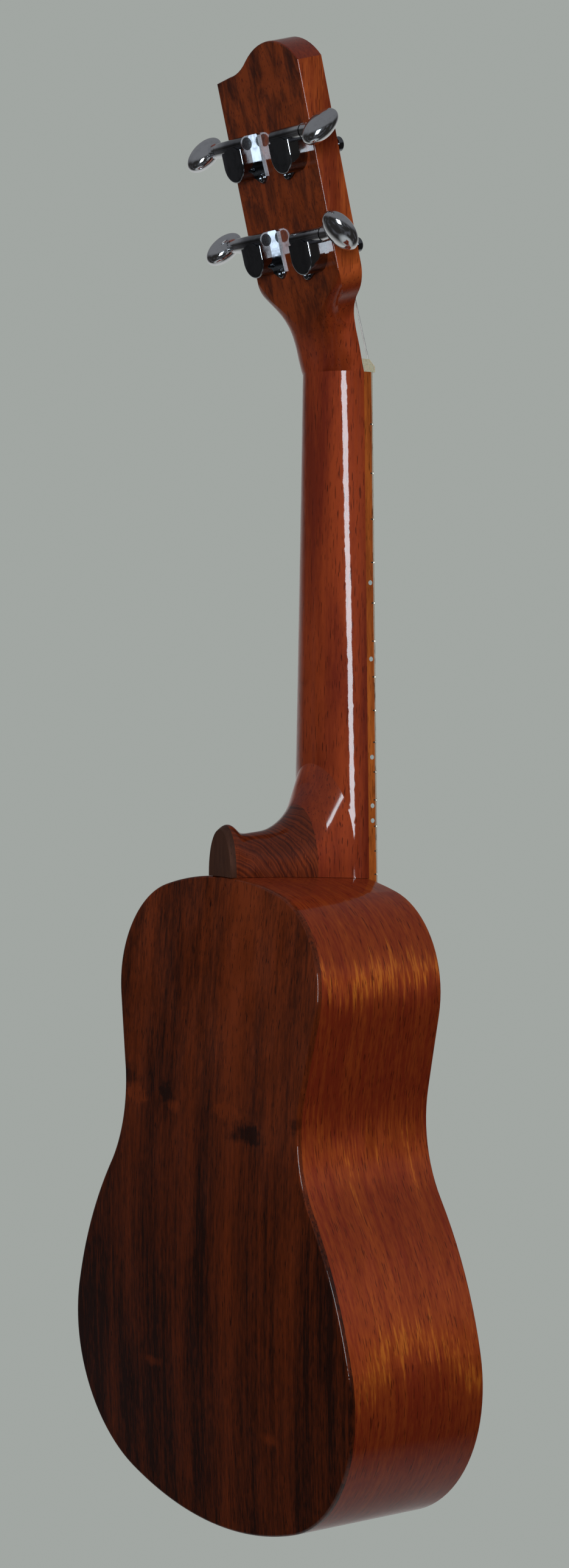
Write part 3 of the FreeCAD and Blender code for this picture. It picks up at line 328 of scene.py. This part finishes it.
def side_ribbons(graph):
    """The sides' figure, with a painted gold sheen in chevrons where the bent fibres face the light,
    pointing down and then up.
    """
    cloud = graph.noise(graph.stretched((14.0, 60.0, 14.0)), detail=3.0, distortion=0.8)
    zigzag = graph.noise(graph.stretched((10.0, 55.0, 10.0)), detail=1.0)
    ragged = graph.noise(graph.stretched((20.0, 750.0, 20.0)), detail=2.0)
    off_middle = graph.math("ABSOLUTE", graph.math("SUBTRACT", graph.axis(graph.place, 1), SIDE_MIDDLE))
    lean = graph.step(graph.axis(graph.place, 2), *LEAN_TURNS, 0.5, -0.5)
    height = graph.math("ADD", graph.axis(graph.place, 2), graph.math("MULTIPLY", off_middle, lean))
    height = graph.math("ADD", height, graph.step(zigzag, 0.2, 0.8, -0.009, 0.009))
    height = graph.math("ADD", height, graph.step(ragged, 0.2, 0.8, -0.010, 0.010))
    # gold: painted sheen on the sides, in chevrons at the listed heights
    gold = placed_ramp(graph, height, SIDE_PAINTED_SHEEN, "EASE")
    on_sides = graph.math("SUBTRACT", 1.0, faces_y(graph))
    gold = graph.math("MULTIPLY", gold, on_sides)
    return graph.math("ADD", gold, graph.step(cloud, 0.2, 0.8, 0.0, 0.28))


def painted_gold_sheen(graph, colour, level):
    """The sides' lightest places, the figure and the painted sheen on it, turn gold."""
    return graph.mix(graph.step(level, 0.60, 1.0), colour, SIDE_SHEEN_GOLD)


def growth_rings(graph, level):
    """The heel block's rings, from 0, dark, to 1, light."""
    away = graph.vector("SUBTRACT", graph.place, RING_CENTRE)
    away = graph.vector("MULTIPLY", away, (0.4, 1.0, 1.0))
    radius = graph.node("ShaderNodeVectorMath", {0: away}, output=1, operation="LENGTH")
    wobble = graph.noise(graph.stretched((90.0, 90.0, 90.0)), detail=2.0)
    count = graph.math("ADD", graph.math("MULTIPLY", radius, RINGS_PER_METRE),
                       graph.math("MULTIPLY", wobble, 3.0))
    inputs = {"W": count, "Scale": 1.0, "Detail": 2.0}
    rings = graph.node("ShaderNodeTexNoise", inputs, noise_dimensions="1D")
    rings = graph.step(rings, 0.3, 0.7, 0.0, 0.7)
    return graph.math("ADD", rings, graph.math("MULTIPLY", level, 0.4), clamp=True)


def head_mottle(graph, level):
    """The blotches on the back of the head, from 0, dark, to 1, light."""
    blotch = graph.noise(graph.stretched((170.0, 170.0, 28.0)), detail=4.0, roughness=0.7, distortion=0.5)
    blotch = graph.step(blotch, 0.32, 0.68)
    return graph.math("ADD", blotch, graph.math("MULTIPLY", level, 0.3), clamp=True)


def heel_and_head(graph, colour, level):
    """The neck's darker parts, the heel block with its growth rings and the mottled back of the head; and
    painted light on the head's sides, which are made lighter.
    """
    depth = graph.axis(graph.place, 1)
    height = graph.axis(graph.place, 2)
    on_heel = graph.math("MULTIPLY", graph.math("GREATER_THAN", depth, PLANK_FACE),
                         graph.math("LESS_THAN", height, HEEL_BELOW))
    colour = graph.mix(on_heel, colour, graph.mix(growth_rings(graph, level), HEEL_DARK, HEEL_LIGHT))
    on_back = graph.math("MULTIPLY", graph.step(height, 0.0, 0.03),
                         graph.step(graph.axis(graph.normal, 1), *FACES_ALONG))
    colour = graph.mix(on_back, colour, graph.mix(head_mottle(graph, level), HEAD_DARK, HEAD_LIGHT))
    # The head's sides get painted light: a lighter colour where the face turns sideways.
    sideways = graph.math("ABSOLUTE", graph.axis(graph.normal, 0))
    painted_lit_side = graph.math("MULTIPLY", graph.step(sideways, *FACES_ALONG), graph.step(height, 0.02, 0.05))
    return graph.mix(painted_lit_side, colour, graph.mix(level, HEAD_SIDE_LIT_DARK, HEAD_SIDE_LIT_LIGHT))


def painted_edge_highlight(graph, colour, level):
    """The fingerboard's front corner, with a painted highlight along its edge."""
    edge_wobble = graph.noise(graph.stretched((120.0, 120.0, 60.0)), detail=2.0)
    depth = graph.math("ADD", graph.axis(graph.place, 1), graph.step(edge_wobble, 0.3, 0.7, -0.0001, 0.0001))
    corner = graph.step(depth, -0.0041, -0.0036, 1.0, 0.0)
    on_edge = graph.step(graph.math("ABSOLUTE", graph.axis(graph.normal, 0)), 0.8, 0.95)
    return graph.mix(graph.math("MULTIPLY", corner, on_edge), colour, BOARD_EDGE_HIGHLIGHT)


def chrome():
    """Polished plating, a little smudged, with painted shade: darker housings and darker patches among the
    smudges.
    """
    graph = Graph("chrome")
    smudge = graph.noise(graph.stretched((260.0, 260.0, 260.0)), detail=4.0, roughness=0.65)
    dulled = graph.step(smudge, 0.35, 0.75, 0.05, 0.17)
    outwards = graph.step(graph.math("ABSOLUTE", graph.axis(graph.place, 0)), *HOUSING_SHADE_ENDS)
    clean = graph.mix(outwards, CHROME_HOUSING_SHADED, CHROME_BUTTON)
    # Smudged patches, also painted darker as painted shade for the dim room that the chrome mirrors.
    smudged_and_shaded = graph.mix(outwards, dimmed(CHROME_HOUSING_SHADED, 0.6), dimmed(CHROME_BUTTON, 0.8))
    tone = graph.mix(graph.step(smudge, 0.4, 0.8), clean, smudged_and_shaded)
    wave = graph.noise(graph.stretched((420.0, 420.0, 420.0)), detail=1.0)
    graph.set(Base_Color=tone, Metallic=1.0, Roughness=dulled, Normal=graph.bump(wave, 0.00001))
    return graph.material


def plain_metal(name, colour, roughness):
    """Brass, steel and fret wire: brushed lightly, with a little tarnish."""
    graph = Graph(name)
    tarnish = graph.noise(graph.stretched((500.0, 500.0, 500.0)), detail=4.0)
    tone = graph.mix(graph.step(tarnish, 0.45, 0.8), colour, dimmed(colour, 0.55))
    graph.set(Base_Color=tone, Metallic=1.0,
              Roughness=graph.step(tarnish, 0.3, 0.8, roughness, roughness + 0.2))
    return graph.material


def bone():
    """The nut and the saddle."""
    graph = Graph("bone")
    line = graph.noise(graph.stretched((300.0, 1500.0, 1500.0)), detail=2.0)
    colour = graph.mix(graph.step(line, 0.3, 0.8), (0.66, 0.60, 0.42), (0.52, 0.45, 0.29))
    graph.set(Base_Color=colour, Roughness=0.33, Subsurface_Weight=0.25, Subsurface_Scale=0.0015,
              Normal=graph.bump(line, 0.00002))
    return graph.material


def pearl():
    """The position dots."""
    graph = Graph("dot_pearl")
    cloud = graph.noise(graph.stretched((900.0, 900.0, 900.0)), detail=2.0, distortion=1.5)
    colour = graph.mix(graph.step(cloud, 0.3, 0.7), (0.62, 0.64, 0.58), (0.42, 0.47, 0.46))
    graph.set(Base_Color=colour, Roughness=0.2, Coat_Weight=0.6, Coat_Roughness=0.05)
    return graph.material


def nylon():
    """The strings."""
    graph = Graph("nylon_string")
    haze = graph.noise(graph.stretched((700.0, 700.0, 90.0)), detail=2.0)
    colour = graph.mix(haze, (0.60, 0.60, 0.57), (0.46, 0.46, 0.43))
    graph.set(Base_Color=colour, Roughness=0.28, Transmission_Weight=0.35, IOR=1.53)
    return graph.material


def black_plug():
    """The dark plugs in the ends of the tuners."""
    graph = Graph("plug_black")
    dust = graph.noise(graph.stretched((1200.0, 1200.0, 1200.0)), detail=3.0)
    colour = graph.mix(graph.step(dust, 0.5, 0.8), (0.008, 0.009, 0.012), (0.03, 0.03, 0.034))
    graph.set(Base_Color=colour, Roughness=graph.step(dust, 0.3, 0.8, 0.22, 0.45))
    return graph.material


def make_materials():
    """Every finish, by the name of the material slot that it fills."""
    return {
        "mahogany_back": wood("mahogany_back", BACK_DARK, BACK_LIGHT, back_ribbons),
        "mahogany_side": wood("mahogany_side", SIDE_DARK, SIDE_LIGHT, side_ribbons, bent=True,
                              recolour=painted_gold_sheen),
        "mahogany_neck": wood("mahogany_neck", NECK_DARK, NECK_LIGHT, soft_ribbons(55.0, 9.0),
                              recolour=heel_and_head, coat=1.0),
        "heel_cap_wood": wood("heel_cap_wood", CAP_DARK, CAP_LIGHT, soft_ribbons(120.0, 20.0), pores=0.4),
        "fingerboard_wood": wood("fingerboard_wood", BOARD_DARK, BOARD_LIGHT, soft_ribbons(110.0, 8.0),
                                 recolour=painted_edge_highlight),
        "bridge_wood": wood("bridge_wood", BOARD_DARK, BOARD_LIGHT, soft_ribbons(20.0, 110.0)),
        "spruce_inside": wood("spruce_inside", SPRUCE_DARK, SPRUCE_LIGHT, soft_ribbons(400.0, 6.0),
                              pores=0.1),
        "rosette_wood": wood("rosette_wood", CAP_DARK, SPRUCE_LIGHT,
                             soft_ribbons(500.0, 500.0, 0.45, 0.55)),
        "bone": bone(),
        "dot_pearl": pearl(),
        "fret_wire": plain_metal("fret_wire", (0.62, 0.60, 0.54), 0.22),
        "chrome": chrome(),
        "gear_brass": plain_metal("gear_brass", (0.70, 0.48, 0.20), 0.3),
        "steel": plain_metal("steel", (0.50, 0.50, 0.51), 0.3),
        "plug_black": black_plug(),
        "nylon_string": nylon(),
    }


def dress_nodes(materials):
    """Gives every CAD node the finish of its material slot."""
    for row in frame["record"]["subparts"]:
        for slot in NODES[row["node"]].material_slots:
            slot.material = materials[row["material_slot"]]


# ---------------------------------------------------------------- stage
def make_floor():
    """A pale disc below the tail that fades out at its edge."""
    bpy.ops.mesh.primitive_circle_add(vertices=96, radius=FLOOR_EDGE_RADIUS, fill_type="NGON",
                                      location=(0.0, 0.0, CAD_LOW.z - FLOOR_DROP))
    floor = bpy.context.object
    floor.name = "floor"
    graph = Graph("floor")
    distance = graph.node("ShaderNodeVectorMath", {0: graph.place}, output=1, operation="LENGTH")
    speck = graph.noise(graph.stretched((18.0, 18.0, 18.0)), detail=3.0)
    colour = graph.mix(speck, FLOOR_COLOUR, dimmed(FLOOR_COLOUR, 0.96))
    fade = graph.step(distance, FLOOR_CLEAR_RADIUS, FLOOR_EDGE_RADIUS, 1.0, 0.0)
    graph.set(Base_Color=colour, Roughness=0.9, Alpha=fade)
    floor.data.materials.append(graph.material)


def wall_and_near_room(tree, direction, line_of_sight):
    """Pale in the directions beyond the object, and dim in the others."""
    wall = Vector((line_of_sight.x, line_of_sight.y, WALL_DIP)).normalized()
    dot = add_node(tree, "ShaderNodeVectorMath", {0: direction, 1: wall}, operation="DOT_PRODUCT")
    ramp = add_node(tree, "ShaderNodeValToRGB", {0: dot.outputs["Value"]})
    ramp.color_ramp.interpolation = "EASE"
    colours = (ROOM_NEAR, ROOM_BEHIND)
    for element, place, colour in zip(ramp.color_ramp.elements, WALL_RAMP, colours):
        element.position = place
        element.color = (*colour, 1.0)
    return ramp.outputs[0]


def smooth_share(tree, value, limits):
    """A smooth rise from 0 to 1 between two limits."""
    inputs = {"Value": value, "From Min": limits[0], "From Max": limits[1]}
    return add_node(tree, "ShaderNodeMapRange", inputs, interpolation_type="SMOOTHSTEP").outputs[0]


def make_world(line_of_sight):
    """A plain pale background, and a room for the gloss: pale beyond the object, dim before it."""
    world = bpy.data.worlds.new("room")
    bpy.context.scene.world = world
    world.use_nodes = True
    tree = world.node_tree
    direction = tree.nodes.new("ShaderNodeTexCoord").outputs["Generated"]
    room = wall_and_near_room(tree, direction, line_of_sight)
    inputs = {"Vector": direction, "Scale": THINGS_SCALE, "Detail": 1.0}
    things = add_node(tree, "ShaderNodeTexNoise", inputs)
    height = add_node(tree, "ShaderNodeSeparateXYZ", {0: direction}).outputs["Z"]
    paler = ((smooth_share(tree, things.outputs[0], THINGS_LIMITS), ROOM_THINGS),
             (smooth_share(tree, height, CEILING_LIMITS), CEILING))
    for share, colour in paler:
        inputs = {0: share, 6: room, 7: (*colour, 1.0)}
        room = add_node(tree, "ShaderNodeMix", inputs, data_type="RGBA", blend_type="LIGHTEN").outputs[2]
    seen = tree.nodes.new("ShaderNodeLightPath").outputs["Is Camera Ray"]
    shown = add_node(tree, "ShaderNodeMix", {0: seen, 6: room, 7: (*BACKDROP, 1.0)}, data_type="RGBA")
    tree.links.new(shown.outputs[2], tree.nodes["Background"].inputs["Color"])


def area_light(name, place, target, width, height, power, colour, mirrored=True):
    """A rectangular light that faces a target.  mirrored: the gloss shows it."""
    data = bpy.data.lights.new(name, "AREA")
    data.shape = "RECTANGLE"
    data.size = width
    data.size_y = height
    data.energy = power
    data.color = colour
    lamp = bpy.data.objects.new(name, data)
    bpy.context.collection.objects.link(lamp)
    lamp.location = place
    lamp.rotation_euler = (Vector(target) - Vector(place)).to_track_quat("-Z", "Y").to_euler()
    lamp.visible_camera = False
    lamp.visible_glossy = mirrored


def make_lights(line_of_sight):
    """A soft key beside the camera, and weak fills for the sides that it doesn't reach."""
    leftwards = Vector((0.0, 0.0, 1.0)).cross(line_of_sight).normalized()
    middle = 0.5 * (CAD_LOW + CAD_HIGH)
    key_place = CAMERA_PLACE + KEY_LEFT * leftwards - KEY_BACK * line_of_sight + Vector((0.0, 0.0, KEY_UP))
    area_light("key", key_place, middle, KEY_WIDTH, KEY_HEIGHT, KEY_POWER, KEY_COLOUR)
    for name, place, size, power, colour in FILLS:
        area_light(name, place, middle, size, size, power, colour, mirrored=False)


def make_camera():
    """The camera; returns its line of sight."""
    data = bpy.data.cameras.new("camera")
    data.lens = CAMERA_LENS
    data.sensor_width = CAMERA_SENSOR
    data.shift_y = CAMERA_RISE
    data.clip_start = 0.01
    camera = bpy.data.objects.new("camera", data)
    bpy.context.collection.objects.link(camera)
    flat = math.cos(CAMERA_PITCH)
    line_of_sight = Vector((-math.sin(CAMERA_HEADING) * flat, math.cos(CAMERA_HEADING) * flat,
                            math.sin(CAMERA_PITCH)))
    turn = line_of_sight.to_track_quat("-Z", "Y").to_matrix().to_4x4()
    camera.matrix_world = Matrix.Translation(CAMERA_PLACE) @ turn @ Matrix.Rotation(CAMERA_ROLL, 4, "Z")
    bpy.context.scene.camera = camera
    return line_of_sight


def set_look():
    """Plain colours, with no film look."""
    view = bpy.context.scene.view_settings
    view.view_transform = "Standard"
    view.look = "None"


line_of_sight = make_camera()
dress_nodes(make_materials())
make_floor()
make_world(line_of_sight)
make_lights(line_of_sight)
set_look()
